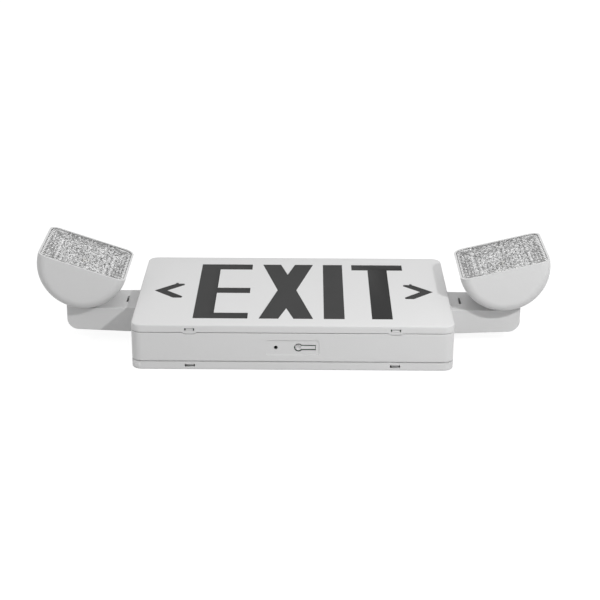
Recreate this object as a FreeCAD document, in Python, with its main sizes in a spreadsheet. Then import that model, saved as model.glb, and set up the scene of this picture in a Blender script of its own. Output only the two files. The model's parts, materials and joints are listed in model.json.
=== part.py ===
import FreeCAD, Part
import math
import os
import re
import Sketcher
from FreeCAD import Placement, Rotation, Vector

# Emergency exit light: a stencil-faced sign box with a lamp head on an arm at each side.
# Frame: X runs along the word, Y is the sign's up, Z comes out of its face. The origin is
# the middle of the flat back, which is also the middle of the wire entry.

os.makedirs("parts", exist_ok=True)
doc = FreeCAD.newDocument("exit_light")

# ---------------------------------------------------------------- driving dimensions, mm
SIZES = (
    # sign box
    ("sign_width", 300, "outside width of the box"),
    ("sign_height", 190, "outside height of the box"),
    ("sign_depth", 44.4, "back to face"),
    ("back_depth", 8.8, "depth of the back cover, up to its seam"),
    ("seam_front", 36.5, "height of the front seam above the back"),
    ("plan_radius", 10, "corner radius of the box seen from the front"),
    ("box_wall", 2.2, "side walls and back floor"),
    ("face_thickness", 1.6, "stencil plate"),
    ("edge_round", 1.2, "rounding of the outer moulded edges"),
    ("seam_bevel", 0.4, "bevel of the outer edges that meet at a seam"),
    ("tab_width", 13, "pry tab of the front cover, at the seam"),
    ("tab_slant", 2.5, "run of a tab's sloping ends"),
    ("tab_drop", 1.2, "pry tab below the seam"),
    ("tab_thickness", 1.1, "pry tab"),
    ("tab_play", 0.1, "gap round a pry tab in its notch"),
    ("panel_thickness", 1.6, "dark letter panel"),
    ("diffuser_thickness", 1.2, "white diffuser behind the letter panel"),
    ("panel_play", 0.4, "gap round the panels inside the box walls"),
    # snap hooks between frame and covers
    ("latch_offset", 95.4, "hooks lie this far each side of the middle"),
    ("latch_window", 9.4, "width of the window in the cover wall"),
    ("latch_opening", 2.8, "height of the window"),
    ("hook_width", 6.8, "width of a hook"),
    ("hook_thickness", 1.2, "spring leaf of a hook"),
    ("hook_reach", 1.7, "how far the barb enters the window"),
    ("front_latch", 39.9, "middle of the front windows"),
    ("back_latch", 4.2, "middle of the back windows"),
    ("leaf_play", 0.15, "gap between a leaf and the cover wall"),
    ("barb_play", 0.2, "barb lower than its window, each side"),
    ("leaf_root", 6, "length of leaf moulded to the frame wall"),
    # test panel in the lower wall
    ("test_panel_width", 49.8, "recess for the test button and lamp"),
    ("test_panel_height", 15.2, "recess, front to back"),
    ("test_panel_depth", 0.8, "depth of the recess"),
    ("test_panel_radius", 3, "corner radius of the recess"),
    ("test_line", 22.4, "height of the test button line above the back"),
    ("button_middle", 5.5, "middle of the button disc from the sign's middle"),
    ("button_radius", 3.2, "button disc"),
    ("button_slot", 0.9, "width of the slot cut round the button"),
    ("tongue_root", 21.5, "end of the spring tongue"),
    ("tongue_half_width", 1.9, "half the width of the spring tongue"),
    ("root_play", 0.05, "gap at the rounded root of the tongue"),
    ("round_short", 0.01, "a full round falls this much short of half its width"),
    ("post_radius", 1.5, "post behind the button"),
    ("post_length", 1.3, "post behind the button"),
    ("lamp_hole", 15.5, "indicator hole from the sign's middle"),
    ("lamp_hole_radius", 1.8, "indicator hole"),
    ("lamp_radius", 1.5, "indicator lamp"),
    ("lamp_set", 0.2, "indicator lamp behind the inside of the wall"),
    ("dimple_radius", 1.6, "shallow ring in the button disc"),
    ("dimple_depth", 0.25, "depth of that ring"),
    # switch behind the button
    ("switch_gap", 1.0, "post to switch, more than the travel of the button"),
    ("switch_width", 6.2, "body of the test switch"),
    ("switch_height", 1.8, "body of the test switch"),
    ("actuator_radius", 1.7, "round actuator of the test switch"),
    ("actuator_height", 0.5, "actuator above its switch"),
    ("switch_board_left", 29, "board reaches this far left"),
    ("switch_board_right", 32, "board reaches this far right"),
    ("switch_board_height", 15, "board, front to back"),
    ("board_thickness", 1.6, "circuit boards"),
    ("board_post_radius", 3, "posts that carry the switch board"),
    ("left_post", 24, "left post from the middle"),
    ("right_post", 27, "right post from the middle"),
    # back cover
    ("wire_entry_radius", 11.1, "hole for the supply wires"),
    ("box_screw_spacing", 83.3, "screw holes that meet a wall box"),
    ("box_screw_radius", 2.3, "screw holes"),
    ("keyhole_spacing", 200, "keyholes for wall screws"),
    ("keyhole_head_radius", 4.6, "lower, wide end of a keyhole"),
    ("keyhole_slot_radius", 2.3, "narrow end of a keyhole"),
    ("keyhole_travel", 9, "wide end to narrow end"),
    ("keyhole_height", 50, "wide end above the middle"),
    # main board and battery
    ("board_left", -12, "left edge of the main board"),
    ("board_width", 108, "main board"),
    ("board_margin", 23, "main board above the lower edge of the box"),
    ("board_height", 54, "main board"),
    ("standoff_height", 8, "posts under the main board"),
    ("core_width", 32, "transformer core"),
    ("core_length", 27, "transformer core"),
    ("core_height", 21, "transformer core"),
    ("core_left", 66, "transformer core from the board's left edge"),
    ("core_low", 12, "transformer core from the board's lower edge"),
    ("coil_margin", 6, "coil narrower than the core, each side"),
    ("coil_overhang", 5, "coil beyond the core, each end"),
    ("coil_lift", 3, "coil above the board"),
    ("coil_height", 15, "transformer coil"),
    ("relay_width", 19, "relay"),
    ("relay_length", 15.5, "relay"),
    ("relay_height", 15, "relay"),
    ("relay_left", 38, "relay from the board's left edge"),
    ("relay_low", 14, "relay from the board's lower edge"),
    ("capacitor_radius", 6.3, "capacitor"),
    ("capacitor_height", 21, "capacitor"),
    ("capacitor_left", 22, "capacitor from the board's left edge"),
    ("capacitor_low", 38, "capacitor from the board's lower edge"),
    ("terminal_width", 20, "terminal block"),
    ("terminal_length", 9, "terminal block"),
    ("terminal_height", 10, "terminal block"),
    ("terminal_left", 12, "terminal block from the board's left edge"),
    ("terminal_low", 4, "terminal block from the board's lower edge"),
    ("standoff_radius", 3, "posts under the main board"),
    ("standoff_inset", 5, "posts from the board's edges"),
    ("cell_radius", 7.2, "battery cells"),
    ("cell_length", 50, "battery cells"),
    ("cell_count", 4, "cells side by side"),
    ("wrap_half", 5.8, "half the thickness of the wrap between the cells"),
    ("battery_inset", 64, "middle of the battery pack from the left end of the box"),
    ("battery_margin", 49, "battery pack above the lower edge of the box"),
    ("strap_width", 14, "clip over the battery"),
    ("strap_thickness", 1.4, "clip over the battery"),
    ("strap_foot", 9, "feet of the clip"),
    # light strips inside the box
    ("strip_length", 252, "strip along the upper and lower wall"),
    ("strip_height", 7, "strip, front to back"),
    ("strip_base", 31, "strip above the back"),
    ("strip_gap", 2.8, "strip behind the wall, carried by ribs"),
    ("chip_count", 9, "light chips on a strip"),
    ("chip_pitch", 28, "chip to chip"),
    ("chip_width", 3.4, "light chip"),
    ("chip_height", 2.8, "light chip"),
    ("chip_depth", 1.0, "light chip"),
    ("rib_offset", 60, "ribs that carry the strips"),
    ("rib_width", 6, "ribs that carry the strips"),
    ("rib_drop", 3, "ribs start this far below the strips"),
    # side arms
    ("head_offset", 50.4, "swivel axis beyond the box wall"),
    ("arm_tip", 18.6, "arm beyond the swivel axis"),
    ("arm_width", 50, "arm, along the sign's height"),
    ("arm_wall", 2.4, "arm walls"),
    ("arm_bottom_inner", 9.2, "underside at the box wall"),
    ("arm_bottom_outer", 12, "underside at the outer end"),
    ("arm_top", 34.2, "top at the box wall"),
    ("arm_corner", 11, "rounding of the outer lower corner"),
    ("arm_lip_round", 1.0, "rounding of the arm's upper outer edge"),
    ("arm_edge", 0.8, "rounding of the arm's long edges"),
    ("arm_cavity_top", 30.6, "inside, under the top wall"),
    ("arm_cover_inset", 12.8, "arm cover short of the arm's end"),
    ("arm_cover_top", 13.8, "inside face of the arm cover"),
    ("arm_cover_play", 0.1, "gap round the arm cover"),
    ("arm_boss_radius", 3.2, "screw post of the arm cover"),
    ("arm_boss_offset", 22, "screw post beyond the box wall"),
    ("arm_wire_radius", 5, "wire hole from box to arm"),
    ("arm_slot_offset", 12.4, "narrow latch slot in the arm's top, beyond the box wall"),
    ("arm_slot_width", 2.2, "latch slot"),
    ("arm_slot_length", 17, "latch slot"),
    # swivel
    ("head_level", 81.2, "tilt axis above the back"),
    ("head_radius", 43.2, "round back of the lamp head"),
    ("head_length", 88.4, "lamp head, along its tilt axis"),
    ("head_round", 9.7, "rounding of the head's ends"),
    ("head_wall", 2.0, "head shell"),
    ("cradle_gap", 4.4, "arm's hollow top to the head's back"),
    ("left_tilt", 18.5, "lean of the left head, degrees"),
    ("right_tilt", 13.8, "lean of the right head, degrees"),
    ("saddle_radius", 15, "turntable under the head"),
    ("saddle_base", 33, "seat of the turntable in the arm"),
    ("saddle_height", 9, "turntable's rim above its seat"),
    ("cut_past", 3, "how far a cut runs past what it cuts"),
    ("saddle_play", 0.3, "turntable to head and to the arm's recess"),
    ("spigot_radius", 8, "turntable spigot through the arm's top"),
    ("spigot_play", 0.06, "running gap of the spigot"),
    ("spigot_end", 27.4, "lower end of the spigot"),
    ("ring_groove", 29.5, "lower side of the retaining ring"),
    ("ring_thickness", 1.0, "retaining ring"),
    ("ring_seat", 7, "groove radius of the retaining ring"),
    ("ring_radius", 10.5, "retaining ring"),
    ("stud_radius", 5, "hollow stud through the head's slot"),
    ("stud_top", 48.6, "upper end of the stud"),
    ("stud_bore", 3, "wire way through the stud"),
    ("slot_play", 0.5, "slot to stud, each side"),
    ("tilt_range", 45, "tilt each way from straight ahead, degrees"),
    ("shoe_half_width", 11, "clamp shoe inside the head"),
    ("shoe_top", 45, "flat top of the clamp shoe"),
    ("nut_flats", 14, "clamp nut"),
    ("nut_thickness", 3, "clamp nut"),
    ("stud_play", 0.05, "gap round the stud in the shoe and the nut"),
    # optics of a head
    ("lens_recess", 0.4, "lens below the rim"),
    ("lens_thickness", 2.2, "lens"),
    ("lens_play", 0.2, "gap round the lens"),
    ("lens_corner", 7.5, "corner radius of the lens"),
    ("flange_thickness", 1.0, "reflector flange"),
    ("dish_mouth", 37, "half width of the reflector's mouth"),
    ("dish_floor", 13, "half width of the reflector's floor"),
    ("dish_depth", 17, "reflector"),
    ("dish_wall", 1.2, "reflector"),
    ("emitter_hole", 5, "hole in the reflector's floor"),
    ("emitter_radius", 4, "light emitter"),
    ("emitter_height", 3.2, "light emitter"),
    ("emitter_round", 2.4, "rounding of the emitter's top"),
    ("lamp_board_half", 12, "half width of the lamp board"),
)
NUMBER = {name: value for name, value, note in SIZES}

sheet = doc.addObject("Spreadsheet::Sheet", "Sizes")
for row, (name, value, note) in enumerate(SIZES, start=1):
    sheet.set(f"A{row}", name)
    sheet.set(f"B{row}", str(value))
    sheet.set(f"C{row}", note)
    sheet.setAlias(f"B{row}", name)
doc.recompute()


# ------------------------------------------------------------------------ helper functions
def in_sheet(words):
    """Turn a formula in plain names into one that reads the sheet."""
    def cell(match):
        name = match.group()
        return "Sizes." + name if name in NUMBER else name
    return re.sub(r"[a-z_]+", cell, str(words))


def amount(words):
    """Present value of a formula."""
    return float(sheet.evalExpression(in_sheet(words)))


def bind(thing, prop, words):
    thing.setExpression(prop, in_sheet(words))


def new_body(label):
    body = doc.addObject("PartDesign::Body", label)
    body.Label = label
    return body


def new_sketch(body, role, offset="0"):
    """Sketch on one of the body's origin planes, moved along its normal."""
    sketch = body.newObject("Sketcher::SketchObject", body.Label + "_sketch")
    planes = [feature for feature in body.Origin.OriginFeatures if feature.Role == role]
    sketch.AttachmentSupport = [(planes[0], "")]
    sketch.MapMode = "FlatFace"
    bind(sketch, "AttachmentOffset.Base.z", offset)
    return sketch


def fix_point(sketch, geometry, point, across, along):
    """Hold one point of the sketch at (across, along)."""
    for words, axis, kind in ((across, -2, "DistanceX"), (along, -1, "DistanceY")):
        if abs(amount(words)) < 1e-9:
            sketch.addConstraint(Sketcher.Constraint("PointOnObject", geometry, point, axis))
            continue
        number = sketch.addConstraint(
            Sketcher.Constraint(kind, -1, 1, geometry, point, amount(words)))
        bind(sketch, f"Constraints[{number}]", words)


def draw_polygon(sketch, corners):
    """Closed outline of straight lines through corners, each (across, along)."""
    spots = [Vector(amount(x), amount(y), 0) for x, y in corners]
    first = sketch.GeometryCount
    count = len(spots)
    for i in range(count):
        sketch.addGeometry(Part.LineSegment(spots[i], spots[(i + 1) % count]), False)
    for i in range(count):
        following = first + (i + 1) % count
        sketch.addConstraint(Sketcher.Constraint("Coincident", first + i, 2, following, 1))
    for i, (x, y) in enumerate(corners):
        fix_point(sketch, first + i, 1, x, y)


def draw_rectangle(sketch, left, right, low, high):
    draw_polygon(sketch, ((left, low), (right, low), (right, high), (left, high)))


def draw_circle(sketch, across, along, radius):
    index = sketch.GeometryCount
    middle = Vector(amount(across), amount(along), 0)
    sketch.addGeometry(Part.Circle(middle, Vector(0, 0, 1), amount(radius)), False)
    fix_point(sketch, index, 3, across, along)
    number = sketch.addConstraint(Sketcher.Constraint("Radius", index, amount(radius)))
    bind(sketch, f"Constraints[{number}]", radius)


def draw_rounded_rectangle(sketch, left, right, low, high, radius):
    """Rectangle with four tangent corner arcs."""
    x0, x1, y0, y1, r = (amount(words) for words in (left, right, low, high, radius))
    first = sketch.GeometryCount
    ends = (
        ((x0 + r, y0), (x1 - r, y0)),
        ((x1, y0 + r), (x1, y1 - r)),
        ((x1 - r, y1), (x0 + r, y1)),
        ((x0, y1 - r), (x0, y0 + r)),
    )
    middles = ((x1 - r, y0 + r), (x1 - r, y1 - r), (x0 + r, y1 - r), (x0 + r, y0 + r))
    for side in range(4):
        start, stop = ends[side]
        sketch.addGeometry(Part.LineSegment(Vector(*start, 0), Vector(*stop, 0)), False)
        circle = Part.Circle(Vector(*middles[side], 0), Vector(0, 0, 1), r)
        turn = math.radians(90 * side - 90)
        sketch.addGeometry(Part.ArcOfCircle(circle, turn, turn + math.pi / 2), False)
    for side in range(4):
        line, arc = first + 2 * side, first + 2 * side + 1
        following = first + (2 * side + 2) % 8
        kind = "Horizontal" if side % 2 == 0 else "Vertical"
        sketch.addConstraint(Sketcher.Constraint(kind, line))
        sketch.addConstraint(Sketcher.Constraint("Tangent", line, 2, arc, 1))
        sketch.addConstraint(Sketcher.Constraint("Tangent", arc, 2, following, 1))
    for side in range(1, 4):
        sketch.addConstraint(Sketcher.Constraint("Equal", first + 1, first + 2 * side + 1))
    number = sketch.addConstraint(Sketcher.Constraint("Radius", first + 1, r))
    bind(sketch, f"Constraints[{number}]", radius)
    places = (("DistanceY", 0, low), ("DistanceX", 2, right), ("DistanceY", 4, high), ("DistanceX", 6, left))
    for kind, line, words in places:
        number = sketch.addConstraint(
            Sketcher.Constraint(kind, -1, 1, first + line, 1, amount(words)))
        bind(sketch, f"Constraints[{number}]", words)


def pad(body, sketch, length, symmetric=False, reverse=False):
    feature = body.newObject("PartDesign::Pad", body.Label + "_pad")
    feature.Profile = sketch
    feature.SideType = "Symmetric" if symmetric else "One side"
    feature.Reversed = reverse
    bind(feature, "Length", length)
    doc.recompute()
    return feature


def pocket(body, sketch, length, symmetric=False, reverse=False):
    """Cut that must take something away."""
    before = body.Shape.Volume
    feature = body.newObject("PartDesign::Pocket", body.Label + "_pocket")
    feature.Profile = sketch
    feature.SideType = "Symmetric" if symmetric else "One side"
    feature.Reversed = reverse
    bind(feature, "Length", length)
    doc.recompute()
    if body.Shape.Volume > before - 0.01:
        raise RuntimeError(f"{feature.Label} cuts nothing")
    return feature


def finish_edges(body, kind, prop, size, wanted):
    """Put one Fillet or Chamfer on the edges of the body's last feature that wanted(edge) picks."""
    base = body.Tip
    names = [f"Edge{i}" for i, edge in enumerate(base.Shape.Edges, start=1) if wanted(edge)]
    if not names:
        raise RuntimeError(f"{body.Label} has no edge for its {kind.lower()}")
    feature = body.newObject(f"PartDesign::{kind}", f"{body.Label}_{kind.lower()}")
    feature.Base = (base, names)
    bind(feature, prop, size)
    doc.recompute()
    return feature


def fillet(body, radius, wanted):
    return finish_edges(body, "Fillet", "Radius", radius, wanted)


def bevel(body, size, wanted):
    return finish_edges(body, "Chamfer", "Size", size, wanted)


def new_box(label, low, size):
    """Part box from its lowest corner and its three sizes, all formulas."""
    box = doc.addObject("Part::Box", label)
    box.Label = label
    for axis, words in zip("xyz", low):
        bind(box, f"Placement.Base.{axis}", words)
    for prop, words in zip(("Length", "Width", "Height"), size):
        bind(box, prop, words)
    doc.recompute()
    return box


def new_cylinder(label, middle, radius, height, along=Vector(0, 0, 1)):
    """Part cylinder from the middle of its first end."""
    cylinder = doc.addObject("Part::Cylinder", label)
    cylinder.Label = label
    cylinder.Placement = Placement(Vector(), Rotation(Vector(0, 0, 1), along))
    for axis, words in zip("xyz", middle):
        bind(cylinder, f"Placement.Base.{axis}", words)
    bind(cylinder, "Radius", radius)
    bind(cylinder, "Height", height)
    doc.recompute()
    return cylinder


def new_fuse(label, shapes):
    fused = doc.addObject("Part::MultiFuse", label)
    fused.Label = label
    fused.Shapes = shapes
    doc.recompute()
    return fused


def is_upright(edge):
    low, high = edge.BoundBox.ZMin, edge.BoundBox.ZMax
    return high - low > 0.5 and edge.BoundBox.DiagonalLength - (high - low) < 1e-6


# Places worked out from the sizes.
HEAD_REACH = "(sign_width / 2 + head_offset)"
BOARD_BOTTOM = "(board_margin - sign_height / 2)"
BATTERY_BOTTOM = "(battery_margin - sign_height / 2)"
BATTERY_MIDDLE = "(battery_inset - sign_width / 2)"
FLOOR = "(test_panel_depth - sign_height / 2)"
WALL_INSIDE = "(box_wall - sign_height / 2)"
SWITCH_DEPTH = "(post_length + switch_gap + actuator_height + switch_height)"
SWITCH_BOARD = f"({WALL_INSIDE} + {SWITCH_DEPTH})"

nodes = []


def keep(thing):
    nodes.append(thing)
    return thing


# ------------------------------------------------------------------------------ sign box
def box_outline(sketch, inset="0"):
    """Rounded outline of the box, moved inwards by inset."""
    half_width = f"(sign_width / 2 - ({inset}))"
    half_height = f"(sign_height / 2 - ({inset}))"
    draw_rounded_rectangle(
        sketch, f"-{half_width}", half_width, f"-{half_height}", half_height,
        f"plan_radius - ({inset})")


def is_outer_at(*levels):
    """Test for the edges of the box's outline at the given heights."""
    half_width, half_height = amount("sign_width / 2"), amount("sign_height / 2")
    heights = [amount(level) for level in levels]

    def wanted(edge):
        box = edge.BoundBox
        flat = any(max(abs(box.ZMin - height), abs(box.ZMax - height)) < 0.01 for height in heights)
        widest = max(box.XMax, -box.XMin) > half_width - 0.01
        tallest = max(box.YMax, -box.YMin) > half_height - 0.01
        return flat and (widest or tallest)
    return wanted


def draw_tabs(sketch, play="0"):
    """Outlines of the two pry tabs on one long wall, grown by play."""
    for side in (-1, 1):
        middle, reach = f"{side} * latch_offset", f"(tab_width / 2 + ({play}))"
        draw_polygon(sketch, (
            (f"{middle} - {reach}", "seam_front + seam_bevel"),
            (f"{middle} - {reach}", "seam_front"),
            (f"{middle} - {reach} + tab_slant", f"seam_front - tab_drop - ({play})"),
            (f"{middle} + {reach} - tab_slant", f"seam_front - tab_drop - ({play})"),
            (f"{middle} + {reach}", "seam_front"),
            (f"{middle} + {reach}", "seam_front + seam_bevel")))


def cut_latch_windows(body, level):
    """Windows for two hooks in the upper and two in the lower wall of a cover."""
    for side in (-1, 1):
        sketch = new_sketch(body, "XZ_Plane")
        draw_rectangle(
            sketch,
            f"{side} * latch_offset - latch_window / 2", f"{side} * latch_offset + latch_window / 2",
            f"{level} - latch_opening / 2", f"{level} + latch_opening / 2")
        pocket(body, sketch, "sign_height + cut_past", symmetric=True)


def make_front_cover():
    """Shallow tray with its floor as the sign's face."""
    body = new_body("front_cover")
    outer = new_sketch(body, "XY_Plane", "seam_front")
    box_outline(outer)
    pad(body, outer, "sign_depth - seam_front")
    face = amount("sign_depth")
    fillet(body, "edge_round", lambda edge: edge.BoundBox.ZMin > face - 0.01)
    bevel(body, "seam_bevel", is_outer_at("seam_front"))
    inner = new_sketch(body, "XY_Plane", "sign_depth - face_thickness")
    box_outline(inner, "box_wall")
    pocket(body, inner, "sign_depth - face_thickness - seam_front")
    for wall in (-1, 1):
        tabs = new_sketch(body, "XZ_Plane", f"{wall} * sign_height / 2")
        draw_tabs(tabs)
        pad(body, tabs, "tab_thickness", reverse=wall > 0)
    cut_latch_windows(body, "front_latch")
    return keep(body)


def make_back_cover():
    """Shallow tray against the wall, with the wire entry, screw holes and board posts."""
    body = new_body("back_cover")
    outer = new_sketch(body, "XY_Plane")
    box_outline(outer)
    pad(body, outer, "back_depth")
    fillet(body, "edge_round", lambda edge: edge.BoundBox.ZMax < 0.01)
    bevel(body, "seam_bevel", is_outer_at("back_depth"))
    inner = new_sketch(body, "XY_Plane", "back_depth")
    box_outline(inner, "box_wall")
    pocket(body, inner, "back_depth - box_wall")
    posts = new_sketch(body, "XY_Plane", "box_wall")
    for x in ("board_left + standoff_inset", "board_left + board_width - standoff_inset"):
        for y in (f"{BOARD_BOTTOM} + standoff_inset", f"{BOARD_BOTTOM} + board_height - standoff_inset"):
            draw_circle(posts, x, y, "standoff_radius")
    pad(body, posts, "standoff_height")
    holes = new_sketch(body, "XY_Plane", "box_wall")
    draw_circle(holes, "0", "0", "wire_entry_radius")
    for side in (-1, 1):
        draw_circle(holes, "0", f"{side} * box_screw_spacing / 2", "box_screw_radius")
        draw_circle(holes, f"{side} * keyhole_spacing / 2", "keyhole_height", "keyhole_head_radius")
    pocket(body, holes, "box_wall")
    slots = new_sketch(body, "XY_Plane", "box_wall")
    for side in (-1, 1):
        middle = f"{side} * keyhole_spacing / 2"
        draw_rounded_rectangle(
            slots, f"{middle} - keyhole_slot_radius", f"{middle} + keyhole_slot_radius",
            "keyhole_height - keyhole_slot_radius", "keyhole_height + keyhole_travel + keyhole_slot_radius",
            "keyhole_slot_radius - round_short")
    pocket(body, slots, "box_wall")
    cut_latch_windows(body, "back_latch")
    return keep(body)


def add_hooks(body, root, tip, level, up):
    """Two hooks on each long wall: a leaf on the wall's inside with a barb at its tip."""
    wall_inside = "(sign_height / 2 - box_wall)"
    barb_half = "(latch_opening / 2 - barb_play)"
    for side in (-1, 1):
        sketch = new_sketch(body, "YZ_Plane", f"{side} * latch_offset - hook_width / 2")
        for wall in (-1, 1):
            face = f"{wall} * ({wall_inside} - leaf_play)"
            inner = f"{wall} * ({wall_inside} - leaf_play - hook_thickness)"
            barb = f"{wall} * ({wall_inside} - leaf_play + hook_reach)"
            bonded = f"{wall} * {wall_inside}"
            draw_polygon(sketch, (
                (inner, f"{root} - ({up}) * leaf_root"), (bonded, f"{root} - ({up}) * leaf_root"),
                (bonded, root), (face, root),
                (face, f"{level} - ({up}) * {barb_half}"), (barb, f"{level} - ({up}) * {barb_half}"),
                (face, tip), (inner, tip)))
        pad(body, sketch, "hook_width")


def make_housing_frame():
    """Deep ring between the two covers, with the test panel in its lower wall."""
    body = new_body("housing_frame")
    ring = new_sketch(body, "XY_Plane", "back_depth")
    box_outline(ring)
    box_outline(ring, "box_wall")
    pad(body, ring, "seam_front - back_depth")
    bevel(body, "seam_bevel", is_outer_at("back_depth", "seam_front"))
    for wall in (-1, 1):
        notches = new_sketch(body, "XZ_Plane", f"{wall} * sign_height / 2")
        draw_tabs(notches, "tab_play")
        pocket(body, notches, "tab_thickness + tab_play", reverse=wall < 0)
    add_hooks(body, "seam_front", "front_latch + latch_opening / 2 - barb_play", "front_latch", 1)
    add_hooks(body, "back_depth", "back_latch - latch_opening / 2 + barb_play", "back_latch", -1)
    ribs = new_sketch(body, "XY_Plane", "strip_base - rib_drop")
    for side in (-1, 1):
        low, high = f"{side} * rib_offset - rib_width / 2", f"{side} * rib_offset + rib_width / 2"
        inside = "sign_height / 2 - box_wall"
        draw_rectangle(ribs, low, high, f"{inside} - strip_gap", inside)
        draw_rectangle(ribs, low, high, f"-({inside})", f"-({inside} - strip_gap)")
    pad(body, ribs, "strip_height")
    posts = new_sketch(body, "XZ_Plane", "sign_height / 2 - box_wall")
    draw_circle(posts, "-left_post", "test_line", "board_post_radius")
    draw_circle(posts, "right_post", "test_line", "board_post_radius")
    pad(body, posts, SWITCH_DEPTH, reverse=True)
    recess = new_sketch(body, "XZ_Plane", "sign_height / 2")
    draw_rounded_rectangle(
        recess, "-test_panel_width / 2", "test_panel_width / 2",
        "test_line - test_panel_height / 2", "test_line + test_panel_height / 2", "test_panel_radius")
    pocket(body, recess, "test_panel_depth")
    lamp = new_sketch(body, "XZ_Plane", "sign_height / 2")
    draw_circle(lamp, "-lamp_hole", "test_line", "lamp_hole_radius")
    pocket(body, lamp, "box_wall")
    disc = new_sketch(body, "XZ_Plane", "sign_height / 2")
    draw_circle(disc, "button_middle", "test_line", "button_radius + button_slot")
    pocket(body, disc, "box_wall")
    tongue = new_sketch(body, "XZ_Plane", "sign_height / 2")
    draw_rectangle(
        tongue, "button_middle", "tongue_root + root_play",
        "test_line - tongue_half_width - button_slot", "test_line + tongue_half_width + button_slot")
    pocket(body, tongue, "box_wall")
    wires = new_sketch(body, "YZ_Plane")
    draw_circle(wires, "0", "test_line", "arm_wire_radius")
    pocket(body, wires, "sign_width + cut_past", symmetric=True)
    return keep(body)


def make_panels():
    for label, top, thickness, inset in (
            ("letter_panel", "sign_depth - face_thickness", "panel_thickness", "box_wall + panel_play"),
            ("diffuser_panel", "sign_depth - face_thickness - panel_thickness", "diffuser_thickness",
             "box_wall + leaf_play + hook_thickness + panel_play")):
        body = new_body(label)
        outline = new_sketch(body, "XY_Plane", f"{top} - {thickness}")
        box_outline(outline, inset)
        pad(body, outline, thickness)
        keep(body)


# ------------------------------------------------------------------ test button and switch


def make_test_button():
    """Disc on a spring tongue, with a post behind it and a rounded root that it turns on."""
    body = new_body("test_button")
    thickness = "box_wall - test_panel_depth"
    disc = new_sketch(body, "XZ_Plane", f"-{FLOOR}")
    draw_circle(disc, "button_middle", "test_line", "button_radius")
    pad(body, disc, thickness, reverse=True)
    tongue = new_sketch(body, "XZ_Plane", f"-{FLOOR}")
    draw_rectangle(tongue, "button_middle", "tongue_root",
                   "test_line - tongue_half_width", "test_line + tongue_half_width")
    pad(body, tongue, thickness, reverse=True)
    root = amount("tongue_root")
    fillet(body, f"({thickness}) / 2 - round_short",
           lambda edge: edge.BoundBox.XMin > root - 0.01 and is_upright(edge))
    post = new_sketch(body, "XZ_Plane", f"-{WALL_INSIDE}")
    draw_circle(post, "button_middle", "test_line", "post_radius")
    pad(body, post, "post_length", reverse=True)
    dimple = new_sketch(body, "XZ_Plane", f"-{FLOOR}")
    draw_circle(dimple, "button_middle", "test_line", "dimple_radius")
    pocket(body, dimple, "dimple_depth")
    return keep(body)


def make_test_switch():
    inward = Vector(0, 1, 0)
    base = f"({SWITCH_BOARD} - switch_height)"
    case = new_box("switch_case", ("button_middle - switch_width / 2", base, "test_line - switch_width / 2"),
                   ("switch_width", "switch_height", "switch_width"))
    actuator = new_cylinder("switch_actuator", ("button_middle", f"{base} - actuator_height", "test_line"),
                            "actuator_radius", "actuator_height", inward)
    keep(new_fuse("test_switch", [case, actuator]))
    keep(new_box("switch_board", ("-switch_board_left", SWITCH_BOARD, "test_line - switch_board_height / 2"),
                 ("switch_board_left + switch_board_right", "board_thickness", "switch_board_height")))
    stem_start = f"({WALL_INSIDE} + lamp_set)"
    stem = new_cylinder("lamp_stem", ("-lamp_hole", stem_start, "test_line"),
                        "lamp_radius", f"{SWITCH_BOARD} - {stem_start}", inward)
    dome = doc.addObject("Part::Sphere", "lamp_dome")
    bind(dome, "Radius", "lamp_radius")
    for axis, words in zip("xyz", ("-lamp_hole", stem_start, "test_line")):
        bind(dome, f"Placement.Base.{axis}", words)
    keep(new_fuse("indicator_lamp", [stem, dome]))


# --------------------------------------------------------------- boards, battery, light strips
def make_main_board():
    level = "box_wall + standoff_height"
    board_top = f"({level} + board_thickness)"
    keep(new_box("main_board", ("board_left", BOARD_BOTTOM, level),
                 ("board_width", "board_height", "board_thickness")))
    core_x, core_y = "(board_left + core_left)", f"({BOARD_BOTTOM} + core_low)"
    core = new_box("transformer_core", (core_x, core_y, board_top),
                   ("core_width", "core_length", "core_height"))
    coil = new_box("transformer_coil",
                   (f"{core_x} + coil_margin", f"{core_y} - coil_overhang", f"{board_top} + coil_lift"),
                   ("core_width - 2 * coil_margin", "core_length + 2 * coil_overhang", "coil_height"))
    keep(new_fuse("transformer", [core, coil]))
    keep(new_box("relay", ("board_left + relay_left", f"{BOARD_BOTTOM} + relay_low", board_top),
                 ("relay_width", "relay_length", "relay_height")))
    capacitor_spot = ("board_left + capacitor_left", f"{BOARD_BOTTOM} + capacitor_low", board_top)
    keep(new_cylinder("capacitor", capacitor_spot, "capacitor_radius", "capacitor_height"))
    terminal_spot = ("board_left + terminal_left", f"{BOARD_BOTTOM} + terminal_low", board_top)
    keep(new_box("terminal_block", terminal_spot,
                 ("terminal_width", "terminal_length", "terminal_height")))


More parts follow.
